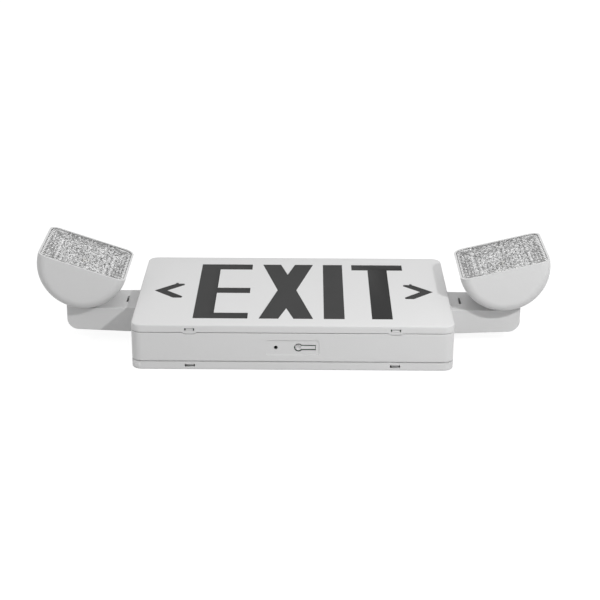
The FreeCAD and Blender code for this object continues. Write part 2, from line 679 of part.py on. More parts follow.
def make_battery():
    level = "box_wall + cell_radius"
    cells = []
    for i in range(NUMBER["cell_count"]):
        x = f"{BATTERY_MIDDLE} + (2 * {i} + 1 - cell_count) * cell_radius"
        cells.append(new_cylinder(f"cell_{i}", (x, BATTERY_BOTTOM, level), "cell_radius", "cell_length",
                                  Vector(0, 1, 0)))
    half = "(cell_count - 1) * cell_radius"
    wrap = new_box("cell_wrap", (f"{BATTERY_MIDDLE} - {half}", BATTERY_BOTTOM, f"{level} - wrap_half"),
                   (f"2 * {half}", "cell_length", "2 * wrap_half"))
    keep(new_fuse("battery_pack", cells + [wrap]))
    clip = new_body("battery_clip")
    outline = new_sketch(clip, "XZ_Plane", f"-({BATTERY_BOTTOM} + cell_length / 2)")
    reach = "cell_count * cell_radius"
    inner_top = "(box_wall + 2 * cell_radius)"
    foot = "(box_wall + strap_thickness)"
    left, right = f"{BATTERY_MIDDLE} - {reach}", f"{BATTERY_MIDDLE} + {reach}"
    draw_polygon(outline, (
        (f"{left} - strap_thickness - strap_foot", "box_wall"), (left, "box_wall"), (left, inner_top),
        (right, inner_top), (right, "box_wall"), (f"{right} + strap_thickness + strap_foot", "box_wall"),
        (f"{right} + strap_thickness + strap_foot", foot), (f"{right} + strap_thickness", foot),
        (f"{right} + strap_thickness", f"{inner_top} + strap_thickness"),
        (f"{left} - strap_thickness", f"{inner_top} + strap_thickness"), (f"{left} - strap_thickness", foot),
        (f"{left} - strap_thickness - strap_foot", foot)))
    pad(clip, outline, "strap_width", symmetric=True)
    keep(clip)


def make_light_strip(name, wall):
    """Board along one long wall, with a row of light chips that face the middle."""
    face = f"(sign_height / 2 - box_wall - strip_gap)"
    outer = f"{wall} * {face}" if wall < 0 else f"{face} - board_thickness"
    board = new_box(f"light_strip_{name}", ("-strip_length / 2", outer, "strip_base"),
                    ("strip_length", "board_thickness", "strip_height"))
    keep(board)
    row = new_body(f"light_chips_{name}")
    start = f"{wall} * ({face} - board_thickness)"
    outline = new_sketch(row, "XZ_Plane", f"-({start})")
    for i in range(NUMBER["chip_count"]):
        x = f"({i} - (chip_count - 1) / 2) * chip_pitch"
        draw_rectangle(outline, f"{x} - chip_width / 2", f"{x} + chip_width / 2",
                       "strip_base + (strip_height - chip_height) / 2",
                       "strip_base + (strip_height + chip_height) / 2")
    chips = pad(row, outline, "chip_depth", reverse=wall < 0)
    keep(row)
    return chips


# --------------------------------------------------------------------------------- side arms
def make_arm(name, side):
    """Hollow arm whose top end is hollowed to the round back of the lamp head."""
    wall, end = "sign_width / 2", "(sign_width / 2 + head_offset + arm_tip)"
    cradle = "(head_radius + cradle_gap)"
    lip = f"(head_level - sqrt({cradle} ^ 2 - arm_tip ^ 2))"
    body = new_body(f"arm_{name}")
    profile = new_sketch(body, "XZ_Plane")
    corners = ((wall, "arm_top"), (wall, "arm_bottom_inner"), (end, "arm_bottom_outer"), (end, lip))
    low = (HEAD_REACH, f"head_level - {cradle}")
    spots = [(f"{side} * ({x})", z) for x, z in corners + (low,)]
    points = [Vector(amount(x), amount(z), 0) for x, z in spots]
    for i in range(3):
        profile.addGeometry(Part.LineSegment(points[i], points[i + 1]), False)
    circle = Part.Circle(Vector(side * amount(HEAD_REACH), amount("head_level"), 0), Vector(0, 0, 1),
                         amount(cradle))
    down = -math.pi / 2
    swing = math.asin(amount(f"arm_tip / {cradle}"))
    first, last = (down, down + swing) if side > 0 else (down - swing, down)
    profile.addGeometry(Part.ArcOfCircle(circle, first, last), False)
    profile.addGeometry(Part.LineSegment(points[4], points[0]), False)
    lip_end, low_end = (2, 1) if side > 0 else (1, 2)
    joins = ((0, 2, 1, 1), (1, 2, 2, 1), (2, 2, 3, lip_end), (3, low_end, 4, 1), (4, 2, 0, 1))
    for join in joins:
        profile.addConstraint(Sketcher.Constraint("Coincident", *join))
    for line, spot in ((0, 0), (1, 1), (2, 2)):
        fix_point(profile, line, 1, *spots[spot])
    fix_point(profile, 3, 3, f"{side} * {HEAD_REACH}", "head_level")
    profile.addConstraint(Sketcher.Constraint("Vertical", 2))
    number = profile.addConstraint(Sketcher.Constraint("Radius", 3, amount(cradle)))
    bind(profile, f"Constraints[{number}]", cradle)
    number = profile.addConstraint(Sketcher.Constraint("DistanceX", -1, 1, 4, 1, amount(spots[4][0])))
    bind(profile, f"Constraints[{number}]", spots[4][0])
    pad(body, profile, "arm_width", symmetric=True)

    tip_x, tip_z = amount(end), amount("arm_bottom_outer")

    def is_lower_tip(edge):
        box = edge.BoundBox
        near = abs(abs(box.XMin) - tip_x) + abs(abs(box.XMax) - tip_x) + abs(box.ZMax - tip_z) < 0.01
        return near and box.YLength > 1
    fillet(body, "arm_corner", is_lower_tip)

    def is_lip(edge):
        box = edge.BoundBox
        at_end = abs(abs(box.XMin) - tip_x) + abs(abs(box.XMax) - tip_x) < 0.01
        return at_end and box.YLength > 1 and box.ZMin > tip_z + 20
    fillet(body, "arm_lip_round", is_lip)
    wall_x, half = amount(wall), amount("arm_width / 2")

    def is_outer_edge(edge):
        box = edge.BoundBox
        at_wall = abs(abs(box.XMin) - wall_x) < 0.01 and abs(abs(box.XMax) - wall_x) < 0.01
        on_side = box.YLength < 0.01 and abs(abs(box.YMin) - half) < 0.01
        return on_side and not at_wall
    fillet(body, "arm_edge", is_outer_edge)

    hollow = new_sketch(body, "XZ_Plane")
    inner = "sign_width / 2 + arm_wall"
    cover_end = f"({end} - arm_cover_inset)"
    draw_polygon(hollow, [(f"{side} * ({x})", z) for x, z in (
        (inner, "arm_bottom_inner - cut_past"), (cover_end, "arm_bottom_inner - cut_past"),
        (cover_end, "arm_cover_top"), (f"{end} - arm_wall", "arm_bottom_outer + arm_corner"),
        (f"{end} - arm_wall", "arm_cavity_top"), (inner, "arm_cavity_top"))])
    pocket(body, hollow, "arm_width - 2 * arm_wall", symmetric=True)
    boss = new_sketch(body, "XY_Plane", "arm_cover_top")
    draw_circle(boss, f"{side} * (sign_width / 2 + arm_boss_offset)", "0", "arm_boss_radius")
    pad(body, boss, "arm_cavity_top - arm_cover_top")
    recess = new_sketch(body, "XY_Plane", "saddle_base")
    draw_circle(recess, f"{side} * {HEAD_REACH}", "0", "saddle_radius + saddle_play")
    pocket(body, recess, "saddle_height", reverse=True)
    bore = new_sketch(body, "XY_Plane", "saddle_base")
    draw_circle(bore, f"{side} * {HEAD_REACH}", "0", "spigot_radius + spigot_play")
    pocket(body, bore, "saddle_base - arm_cavity_top")
    latch = new_sketch(body, "XY_Plane", "arm_top")
    middle = f"{side} * (sign_width / 2 + arm_slot_offset)"
    draw_rectangle(latch, f"{middle} - arm_slot_width / 2", f"{middle} + arm_slot_width / 2",
                   "-arm_slot_length / 2", "arm_slot_length / 2")
    pocket(body, latch, "arm_top - arm_cavity_top")
    wires = new_sketch(body, "YZ_Plane", f"{side} * (sign_width / 2 + arm_wall / 2)")
    draw_circle(wires, "0", "test_line", "arm_wire_radius")
    pocket(body, wires, "arm_wall + cut_past", symmetric=True)
    keep(body)

    cover = new_body(f"arm_cover_{name}")
    outline = new_sketch(cover, "XZ_Plane")
    slope = "(arm_bottom_outer - arm_bottom_inner) / (head_offset + arm_tip)"
    start = "(sign_width / 2 + arm_wall + arm_cover_play)"
    stop = f"({cover_end} - arm_cover_play)"
    draw_polygon(outline, [(f"{side} * {x}", z) for x, z in (
        (start, f"arm_bottom_inner + {slope} * (arm_wall + arm_cover_play)"),
        (stop, f"arm_bottom_inner + {slope} * ({stop} - sign_width / 2)"),
        (stop, "arm_cover_top"), (start, "arm_cover_top"))])
    pad(cover, outline, "arm_width - 2 * arm_wall - 2 * arm_cover_play", symmetric=True)
    keep(cover)


# ---------------------------------------------------------------------------- swivel and head
def make_swivel(name, side):
    """Turntable with a hollowed top, its retaining ring, and the clamp inside the head."""
    x = f"{side} * {HEAD_REACH}"
    saddle = new_body(f"saddle_{name}")
    table = new_sketch(saddle, "XY_Plane", "saddle_base")
    draw_circle(table, x, "0", "saddle_radius")
    pad(saddle, table, "saddle_height")
    hollow = new_sketch(saddle, "XZ_Plane")
    draw_circle(hollow, x, "head_level", "head_radius + saddle_play")
    pocket(saddle, hollow, "2 * saddle_radius + cut_past", symmetric=True)
    spigot = new_sketch(saddle, "XY_Plane", "spigot_end")
    draw_circle(spigot, x, "0", "spigot_radius")
    pad(saddle, spigot, "saddle_base - spigot_end")
    groove = new_sketch(saddle, "XY_Plane", "ring_groove")
    draw_circle(groove, x, "0", "spigot_radius + cut_past")
    draw_circle(groove, x, "0", "ring_seat")
    pocket(saddle, groove, "ring_thickness", reverse=True)
    stud = new_sketch(saddle, "XY_Plane", "saddle_base")
    draw_circle(stud, x, "0", "stud_radius")
    pad(saddle, stud, "stud_top - saddle_base")
    way = new_sketch(saddle, "XY_Plane", "stud_top")
    draw_circle(way, x, "0", "stud_bore")
    pocket(saddle, way, "stud_top - spigot_end")
    keep(saddle)

    ring = new_body(f"swivel_ring_{name}")
    outline = new_sketch(ring, "XY_Plane", "ring_groove")
    draw_circle(outline, x, "0", "ring_radius")
    draw_circle(outline, x, "0", "ring_seat")
    pad(ring, outline, "ring_thickness")
    keep(ring)

    shoe = new_body(f"clamp_shoe_{name}")
    block = new_sketch(shoe, "XZ_Plane")
    half, inside = "shoe_half_width", "(head_radius - head_wall - saddle_play)"
    points = [Vector(side * amount(HEAD_REACH) + dx * amount(half), amount(z), 0)
              for dx, z in ((1, "shoe_top"), (-1, "shoe_top"))]
    drop = amount(f"head_level - sqrt({inside} ^ 2 - {half} ^ 2)")
    lows = [Vector(point.x, drop, 0) for point in points]
    block.addGeometry(Part.LineSegment(points[0], points[1]), False)
    block.addGeometry(Part.LineSegment(points[1], lows[1]), False)
    centre = Vector(side * amount(HEAD_REACH), amount("head_level"), 0)
    swing = math.asin(amount(f"{half} / {inside}"))
    arc = Part.ArcOfCircle(Part.Circle(centre, Vector(0, 0, 1), amount(inside)),
                           -math.pi / 2 - swing, -math.pi / 2 + swing)
    block.addGeometry(arc, False)
    block.addGeometry(Part.LineSegment(lows[0], points[0]), False)
    for join in ((0, 2, 1, 1), (1, 2, 2, 1), (2, 2, 3, 1), (3, 2, 0, 1)):
        block.addConstraint(Sketcher.Constraint("Coincident", *join))
    fix_point(block, 0, 1, f"{x} + {half}", "shoe_top")
    fix_point(block, 0, 2, f"{x} - {half}", "shoe_top")
    block.addConstraint(Sketcher.Constraint("Vertical", 1))
    block.addConstraint(Sketcher.Constraint("Vertical", 3))
    fix_point(block, 2, 3, x, "head_level")
    number = block.addConstraint(Sketcher.Constraint("Radius", 2, amount(inside)))
    bind(block, f"Constraints[{number}]", inside)
    pad(shoe, block, "2 * shoe_half_width", symmetric=True)
    hole = new_sketch(shoe, "XY_Plane", "shoe_top")
    draw_circle(hole, x, "0", "stud_radius + stud_play")
    pocket(shoe, hole, "shoe_half_width")
    keep(shoe)

    nut = new_body(f"clamp_nut_{name}")
    hexagon = new_sketch(nut, "XY_Plane", "shoe_top")
    reach = "nut_flats / sqrt(3)"
    draw_polygon(hexagon, [(f"{x} + {reach} * cos({60 * i})", f"{reach} * sin({60 * i})") for i in range(6)])
    draw_circle(hexagon, x, "0", "stud_radius + stud_play")
    pad(nut, hexagon, "nut_thickness")
    keep(nut)


def half_round(sketch, radius):
    """Outline of a half disc below the line through its middle."""
    r = amount(radius)
    sketch.addGeometry(Part.LineSegment(Vector(r, 0, 0), Vector(-r, 0, 0)), False)
    circle = Part.Circle(Vector(), Vector(0, 0, 1), r)
    sketch.addGeometry(Part.ArcOfCircle(circle, math.pi, 2 * math.pi), False)
    sketch.addConstraint(Sketcher.Constraint("Coincident", 0, 2, 1, 1))
    sketch.addConstraint(Sketcher.Constraint("Coincident", 1, 2, 0, 1))
    sketch.addConstraint(Sketcher.Constraint("Coincident", 1, 3, -1, 1))
    sketch.addConstraint(Sketcher.Constraint("Horizontal", 0))
    number = sketch.addConstraint(Sketcher.Constraint("Radius", 1, r))
    bind(sketch, f"Constraints[{number}]", radius)


def is_end_arc(edge):
    box = edge.BoundBox
    return box.YLength < 0.01 and box.ZLength > 5 and abs(box.ZMax) < 0.01


def lens_outline(sketch, play):
    half = f"(head_radius - head_wall - ({play}))"
    length = f"(head_length / 2 - head_wall - ({play}))"
    draw_rounded_rectangle(sketch, f"-{half}", half, f"-{length}", length, "lens_corner")


def make_head(name, side):
    """Half-round lamp head about its tilt axis, then leaned and set over its arm."""
    lean = f"{name}_tilt" if side < 0 else f"-{name}_tilt"
    pieces = []

    shell = new_body(f"head_shell_{name}")
    outer = new_sketch(shell, "XZ_Plane")
    half_round(outer, "head_radius")
    pad(shell, outer, "head_length", symmetric=True)
    fillet(shell, "head_round", is_end_arc)
    shell_outside = shell.Shape.Volume
    cavity = shell.newObject("PartDesign::Thickness", shell.Label + "_cavity")
    base = shell.Group[-2]
    mouth = [f"Face{i}" for i, face in enumerate(base.Shape.Faces, start=1)
             if face.BoundBox.ZLength < 0.01]
    cavity.Base = (base, mouth)
    bind(cavity, "Value", "head_wall")
    cavity.Join = "Arc"
    cavity.Reversed = True
    doc.recompute()
    if not 0 < shell.Shape.Volume < shell_outside / 2:
        raise RuntimeError(f"{shell.Label} is not hollow")
    slot = new_sketch(shell, "XZ_Plane")
    swing = "(tilt_range * 1 deg + asin((stud_radius + slot_play) / (head_radius - head_wall)))"
    inside, outside = "(head_radius - head_wall - cut_past)", "(head_radius + cut_past)"
    half_slot = [(f"{reach} * sin({swing})", f"-{reach} * cos({swing})") for reach in (inside, outside)]
    half_slot.append((f"{outside} * sin({swing})", f"-{outside}"))
    other_half = [(f"-{across}", along) for across, along in reversed(half_slot)]
    draw_polygon(slot, half_slot + other_half)
    pocket(shell, slot, "2 * (stud_radius + slot_play)", symmetric=True)
    pieces.append(shell)

    lens = new_body(f"lens_{name}")
    plate = new_sketch(lens, "XY_Plane", "-(lens_recess + lens_thickness)")
    lens_outline(plate, "lens_play")
    pad(lens, plate, "lens_thickness")
    pieces.append(lens)

    reflector = new_body(f"reflector_{name}")
    flange_top = "(lens_recess + lens_thickness)"
    flange = new_sketch(reflector, "XY_Plane", f"-({flange_top} + flange_thickness)")
    lens_outline(flange, "2 * lens_play")
    pad(reflector, flange, "flange_thickness")
    floor = f"({flange_top} + dish_depth)"
    outside = new_sketch(reflector, "XY_Plane", f"-({flange_top} + flange_thickness)")
    reach = "(dish_mouth + dish_wall)"
    draw_rectangle(outside, f"-{reach}", reach, f"-{reach}", reach)
    depth = "(dish_depth + dish_wall - flange_thickness)"
    dish = pad(reflector, outside, depth, reverse=True)
    bind(dish, "TaperAngle", f"-atan((dish_mouth - dish_floor) / {depth})")
    doc.recompute()
    mouth = new_sketch(reflector, "XY_Plane", f"-{flange_top}")
    draw_rectangle(mouth, "-dish_mouth", "dish_mouth", "-dish_mouth", "dish_mouth")
    hollow = pocket(reflector, mouth, "dish_depth")
    bind(hollow, "TaperAngle", "-atan((dish_mouth - dish_floor) / dish_depth)")
    doc.recompute()
    emitter_hole = new_sketch(reflector, "XY_Plane", f"-{floor}")
    draw_circle(emitter_hole, "0", "0", "emitter_hole")
    pocket(reflector, emitter_hole, "dish_wall")
    pieces.append(reflector)

    board_top = f"({floor} + dish_wall)"
    board = new_body(f"lamp_board_{name}")
    square = new_sketch(board, "XY_Plane", f"-({board_top} + board_thickness)")
    half = "lamp_board_half"
    draw_rectangle(square, f"-{half}", half, f"-{half}", half)
    pad(board, square, "board_thickness")
    pieces.append(board)

    emitter = new_body(f"emitter_{name}")
    dome = new_sketch(emitter, "XY_Plane", f"-{board_top}")
    draw_circle(dome, "0", "0", "emitter_radius")
    pad(emitter, dome, "emitter_height")
    top = amount(f"emitter_height - {board_top}")

    def is_top_rim(edge):
        box = edge.BoundBox
        return abs(box.ZMin - top) < 0.01 and abs(box.ZMax - top) < 0.01
    fillet(emitter, "emitter_round", is_top_rim)
    pieces.append(emitter)

    for piece in pieces:
        piece.Placement = Placement(Vector(), Rotation(Vector(0, 1, 0), amount(lean)))
        bind(piece, "Placement.Rotation.Angle", lean)
        bind(piece, "Placement.Base.x", f"{side} * {HEAD_REACH}")
        bind(piece, "Placement.Base.z", "head_level")
        keep(piece)


# ------------------------------------------------------------------------------ whole light
make_back_cover()
make_housing_frame()
make_front_cover()
make_panels()
make_test_button()
make_test_switch()
make_main_board()
make_battery()
make_light_strip("upper", 1)
make_light_strip("lower", -1)
for name, side in (("left", -1), ("right", 1)):
    make_arm(name, side)
    make_swivel(name, side)
    make_head(name, side)
doc.recompute()

for thing in doc.Objects:
    if {"Invalid", "Error"} & set(thing.State):
        raise RuntimeError(f"{thing.Label} did not rebuild: {thing.State}")
for node in nodes:
    if node.Shape.isNull() or not node.Shape.isValid():
        raise RuntimeError(f"{node.Label} has no valid shape")
for node in nodes:
    node.Shape.exportStep(os.path.join("parts", node.Label + ".step"))
print(len(nodes), "nodes written")
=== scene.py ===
import json
import math
import random

import bmesh
import bpy
from bpy.props import FloatProperty, FloatVectorProperty, IntProperty, PointerProperty
from mathutils import Matrix, Vector


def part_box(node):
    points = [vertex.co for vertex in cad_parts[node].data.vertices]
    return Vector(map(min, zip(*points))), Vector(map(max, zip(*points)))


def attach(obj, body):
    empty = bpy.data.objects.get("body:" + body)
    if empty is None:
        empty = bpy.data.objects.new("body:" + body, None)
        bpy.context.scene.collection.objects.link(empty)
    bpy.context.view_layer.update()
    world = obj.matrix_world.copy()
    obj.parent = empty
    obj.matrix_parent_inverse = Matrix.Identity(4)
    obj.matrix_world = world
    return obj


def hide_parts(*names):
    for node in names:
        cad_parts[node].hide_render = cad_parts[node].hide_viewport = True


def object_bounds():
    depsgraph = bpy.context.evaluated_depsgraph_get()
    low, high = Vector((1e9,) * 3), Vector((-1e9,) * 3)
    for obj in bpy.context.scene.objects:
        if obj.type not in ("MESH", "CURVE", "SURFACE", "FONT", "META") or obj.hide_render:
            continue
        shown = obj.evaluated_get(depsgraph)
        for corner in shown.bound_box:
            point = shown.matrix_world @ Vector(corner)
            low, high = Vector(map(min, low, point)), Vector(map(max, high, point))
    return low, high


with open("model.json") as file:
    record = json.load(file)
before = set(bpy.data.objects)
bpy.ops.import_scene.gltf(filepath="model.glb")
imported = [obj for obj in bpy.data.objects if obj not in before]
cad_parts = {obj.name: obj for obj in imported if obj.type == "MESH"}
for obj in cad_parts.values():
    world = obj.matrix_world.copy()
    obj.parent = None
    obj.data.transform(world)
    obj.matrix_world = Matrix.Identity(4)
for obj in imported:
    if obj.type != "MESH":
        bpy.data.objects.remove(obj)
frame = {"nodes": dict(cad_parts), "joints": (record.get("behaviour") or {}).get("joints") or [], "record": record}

bl_info = {
    "name": "Emergency Exit Light",
    "version": (1, 0, 0),
    "blender": (4, 5, 0),
    "location": "View3D > Sidebar > Exit Light",
    "description": "Dresses the exit light: stencilled cover, lenses, reflectors, finishes and studio",
    "category": "Object",
}

CAD_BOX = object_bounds()
SIDES = ("left", "right")
WAYS = (-1, 1)
NEAR, WELD = 1e-5, 1e-6
STRAIGHT = 0.9
CORNER_REGION = 0.008


# ------------------------------------------------------------------ places read from the frame
def joint(name):
    return next(j for j in frame["joints"] if j["name"] == name)


def head_place(side):
    """Tilt axis and lean of a lamp head, as a matrix from the head's own axes."""
    tilt = joint(f"tilt_{side}")
    low, high = tilt["range_deg"]
    turn = Matrix.Rotation(math.radians(-(low + high) / 2), 4, "Y")
    return Matrix.Translation(tilt["pos_m"]) @ turn


def rim_of(cover, extreme):
    """Height of a cover's rim, read at its corners, clear of hooks and tabs."""
    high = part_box(cover)[1]
    return extreme(v.co.z for v in frame["nodes"][cover].data.vertices
                   if abs(v.co.x) > high.x - CORNER_REGION and abs(v.co.y) > high.y - CORNER_REGION)


FRONT_RIM, BACK_RIM = rim_of("front_cover", min), rim_of("back_cover", max)
PANEL_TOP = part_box("letter_panel")[1].z
BOX_LOW, BOX_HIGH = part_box("front_cover")


# ---------------------------------------------------------------------------------- settings
class ExitLightSign(bpy.types.PropertyGroup):
    """Sizes of the stencilled cover."""
    letter_depth: FloatProperty(
        name="Letter depth", description="Depth of the raised letters under the face", default=0.0003,
        unit="LENGTH")
    button_ease: FloatProperty(
        name="Button ease", description="Trim all round the test button", default=0.0004, unit="LENGTH")
    front_gap: FloatProperty(
        name="Front joint", description="Open joint under the front cover", default=0.0010, unit="LENGTH")
    back_gap: FloatProperty(
        name="Back joint", description="Open joint over the back cover", default=0.0012, unit="LENGTH")
    joint_depth: FloatProperty(
        name="Joint depth", description="Depth of both joints", default=0.0018, unit="LENGTH")
    corner: FloatProperty(
        name="Corner", description="Corner radius of the cover", default=0.010, unit="LENGTH")
    edge: FloatProperty(
        name="Edge", description="Rounding round the face", default=0.0012, unit="LENGTH")
    wall: FloatProperty(
        name="Wall", description="Side wall of the cover", default=0.0022, unit="LENGTH")
    plastic: FloatVectorProperty(
        name="Plastic", description="White moulded plastic", default=(0.74, 0.74, 0.74), subtype="COLOR",
        min=0, max=1)
    letters: FloatVectorProperty(
        name="Letter panel", description="Unlit panel behind the letters", default=(0.044, 0.044, 0.044),
        subtype="COLOR", min=0, max=1)


class ExitLightHead(bpy.types.PropertyGroup):
    """Sizes of the lamp heads' optics."""
    cells: IntProperty(
        name="Prisms", description="Prisms across the lens", default=19, min=2)
    prism_depth: FloatProperty(
        name="Prism depth", description="Height of a lens prism", default=0.0014, unit="LENGTH")
    prism_wander: FloatProperty(
        name="Prism wander", description="How far a prism's tip strays", default=0.0008, unit="LENGTH")
    flute_depth: FloatProperty(
        name="Flute depth", description="Height of the flutes beside the prisms", default=0.0010,
        unit="LENGTH")
    facets: IntProperty(
        name="Facets", description="Facets along one side of a reflector wall", default=9, min=2)


class ExitLightStage(bpy.types.PropertyGroup):
    """Studio round the light."""
    floor: FloatVectorProperty(
        name="Floor", description="Colour of the floor", default=(0.48, 0.48, 0.48), subtype="COLOR",
        min=0, max=1)
    sky: FloatProperty(
        name="Ambient overhead", description="Level of the ambient light from above", default=1.0, min=0)
    horizon: FloatProperty(
        name="Ambient at the horizon", description="Level of the ambient light from the sides", default=0.05,
        min=0)
    room: FloatProperty(
        name="Room", description="Level of the room before the backdrop, as mirrored in bright parts",
        default=0.15, min=0)
    key: FloatProperty(
        name="Key lamp", description="Power of the key lamp", default=4.8, subtype="POWER")
    fill: FloatProperty(
        name="Fill lamp", description="Power of the fill lamp", default=1.3, subtype="POWER")
    lens: FloatProperty(
        name="Focal length", description="Focal length of the camera", default=93.84, unit="CAMERA")


# ------------------------------------------------------------------------- modelling helpers
def deselect_all():
    bpy.ops.object.select_all(action="DESELECT")


def named(name):
    """Name the piece that an operator has just made."""
    piece = bpy.context.object
    piece.name = name
    piece.data.name = name
    return piece


def choose(piece):
    deselect_all()
    piece.select_set(True)
    bpy.context.view_layer.objects.active = piece


def new_block(name, low, high):
    """Block between two corners, to be shaped further."""
    deselect_all()
    low, high = Vector(low), Vector(high)
    bpy.ops.mesh.primitive_cube_add(size=1, location=(low + high) / 2, scale=high - low)
    bpy.ops.object.transform_apply(location=True, rotation=True, scale=True)
    return named(name)


def new_rounded_block(name, low, high, radius, segments=12):
    """Block with its upright edges rounded."""
    block = new_block(name, low, high)
    pick(block, "EDGE", is_upright)
    bpy.ops.mesh.bevel(offset=radius, offset_type="OFFSET", segments=segments, profile=0.5)
    leave_edit()
    return block


def copy_of(node, name):
    """Closed copy of a frame node's solid, to be worked further."""
    deselect_all()
    piece = bpy.data.objects.new(name, frame["nodes"][node].data.copy())
    piece.data.name = name
    bpy.context.scene.collection.objects.link(piece)
    pick(piece, "FACE", any_face)
    bpy.ops.mesh.remove_doubles(threshold=WELD)
    leave_edit()
    return piece


def new_prism(name, outline, low, high):
    """Upright prism over an outline of (x, y) corners, from height low to high."""
    deselect_all()
    bpy.ops.mesh.primitive_circle_add(vertices=len(outline), radius=1, fill_type="NGON")
    piece = named(name)
    for vertex, (x, y) in zip(piece.data.vertices, outline):
        vertex.co = (x, y, low)
    bpy.ops.object.mode_set(mode="EDIT")
    bpy.ops.mesh.select_all(action="SELECT")
    bpy.ops.mesh.extrude_region_move(TRANSFORM_OT_translate={"value": (0, 0, high - low)})
    bpy.ops.mesh.select_all(action="SELECT")
    bpy.ops.mesh.normals_make_consistent(inside=False)
    bpy.ops.object.mode_set(mode="OBJECT")
    return piece


def pick(piece, kind, wanted):
    """Enter edit mode with only the wanted faces or edges selected."""
    choose(piece)
    bpy.ops.object.mode_set(mode="EDIT")
    bpy.ops.mesh.select_mode(type=kind)
    bpy.ops.mesh.select_all(action="DESELECT")
    shape = bmesh.from_edit_mesh(piece.data)
    for item in shape.faces if kind == "FACE" else shape.edges:
        item.select = wanted(item)
    shape.select_flush_mode()
    bmesh.update_edit_mesh(piece.data)


def leave_edit():
    bpy.ops.object.mode_set(mode="OBJECT")


def any_face(face):
    return True


def looks_down(face):
    return face.normal.z < -STRAIGHT


def lies_above(height):
    """Test for edges that lie wholly at a height or over it."""
    return lambda edge: min(v.co.z for v in edge.verts) > height - NEAR


def is_upright(edge):
    run = edge.verts[1].co - edge.verts[0].co
    return abs(run.z) > STRAIGHT * run.length


def finish_modifier(piece, kind, **values):
    choose(piece)
    modifier = piece.modifiers.new(kind.title(), kind)
    for prop, value in values.items():
        setattr(modifier, prop, value)
    bpy.ops.object.modifier_apply(modifier=modifier.name)


def cut(piece, tools, operation="DIFFERENCE"):
    """Boolean with each tool in turn; the tools are used up."""
    for tool in tools:
        finish_modifier(piece, "BOOLEAN", operation=operation, solver="EXACT", object=tool)
        bpy.data.objects.remove(tool)


def stand_up(piece):
    """Turn a prism so that its outline is seen from the front."""
    move_mesh(piece, Matrix.Rotation(math.radians(90), 4, "X"))
    return piece


def smooth_by_angle(piece, degrees=35):
    choose(piece)
    bpy.ops.object.shade_smooth_by_angle(angle=math.radians(degrees))


def move_mesh(piece, matrix):
    """Put the piece's place in its mesh."""
    choose(piece)
    piece.matrix_world = matrix
    bpy.ops.object.transform_apply(location=True, rotation=True, scale=True)


def dress(piece, body, material, nodes):
    """Tie a finished piece to its body, finish and CAD nodes."""
    piece.data.materials.clear()
    piece.data.materials.append(material)
    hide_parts(*nodes)
    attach(piece, body)


# ---------------------------------------------------------------------------------- materials
def socket(tree, name, way, kind, value=None):
    made = tree.interface.new_socket(name=name, in_out=way, socket_type=kind)
    if value is not None:
        made.default_value = value


def calculate(tree, operation, *values):
    """Output of a math node whose inputs are sockets or plain numbers."""
    node = tree.nodes.new("ShaderNodeMath")
    node.operation = operation
    for entry, value in zip(node.inputs, values):
        if isinstance(value, bpy.types.NodeSocket):
            tree.links.new(value, entry)
        else:
            entry.default_value = value
    return node.outputs[0]


def moulded_skin():
    """Fine spark-eroded texture of a moulded face, with a faint mottle."""
    name = "moulded_skin"
    if name in bpy.data.node_groups:
        return bpy.data.node_groups[name]
    tree = bpy.data.node_groups.new(name, "ShaderNodeTree")
    socket(tree, "Colour", "INPUT", "NodeSocketColor", (0.8, 0.8, 0.8, 1))
    socket(tree, "Roughness", "INPUT", "NodeSocketFloat", 0.4)
    socket(tree, "Grain Scale", "INPUT", "NodeSocketFloat", 2500)
    socket(tree, "Grain", "INPUT", "NodeSocketFloat", 0.15)
    socket(tree, "Mottle", "INPUT", "NodeSocketFloat", 0.03)
    socket(tree, "Colour", "OUTPUT", "NodeSocketColor")
    socket(tree, "Roughness", "OUTPUT", "NodeSocketFloat")
    socket(tree, "Height", "OUTPUT", "NodeSocketFloat")
    nodes, links = tree.nodes, tree.links
    inputs, outputs = nodes.new("NodeGroupInput"), nodes.new("NodeGroupOutput")
    place = nodes.new("ShaderNodeTexCoord")
    grain = nodes.new("ShaderNodeTexNoise")
    grain.inputs["Detail"].default_value = 3
    links.new(place.outputs["Object"], grain.inputs["Vector"])
    links.new(inputs.outputs["Grain Scale"], grain.inputs["Scale"])
    cloud = nodes.new("ShaderNodeTexNoise")
    cloud.inputs["Scale"].default_value = 14
    cloud.inputs["Detail"].default_value = 4
    links.new(place.outputs["Object"], cloud.inputs["Vector"])
    centred = calculate(tree, "SUBTRACT", cloud.outputs["Fac"], 0.5)
    mottle = calculate(tree, "MULTIPLY", centred, inputs.outputs["Mottle"])
    tint = nodes.new("ShaderNodeVectorMath")
    tint.operation = "SCALE"
    links.new(inputs.outputs["Colour"], tint.inputs[0])
    links.new(calculate(tree, "ADD", mottle, 1), tint.inputs["Scale"])
    links.new(tint.outputs[0], outputs.inputs["Colour"])
    rough = calculate(tree, "MULTIPLY_ADD", mottle, 2, inputs.outputs["Roughness"])
    links.new(rough, outputs.inputs["Roughness"])
    height = calculate(tree, "MULTIPLY", grain.outputs["Fac"], inputs.outputs["Grain"])
    links.new(height, outputs.inputs["Height"])
    return tree


def with_skin(material, **values):
    """Give a material the moulded skin, with the group's inputs set."""
    skin = material.node_tree.nodes.new("ShaderNodeGroup")
    skin.node_tree = moulded_skin()
    for name, value in values.items():
        skin.inputs[name.replace("_", " ")].default_value = value
    return skin


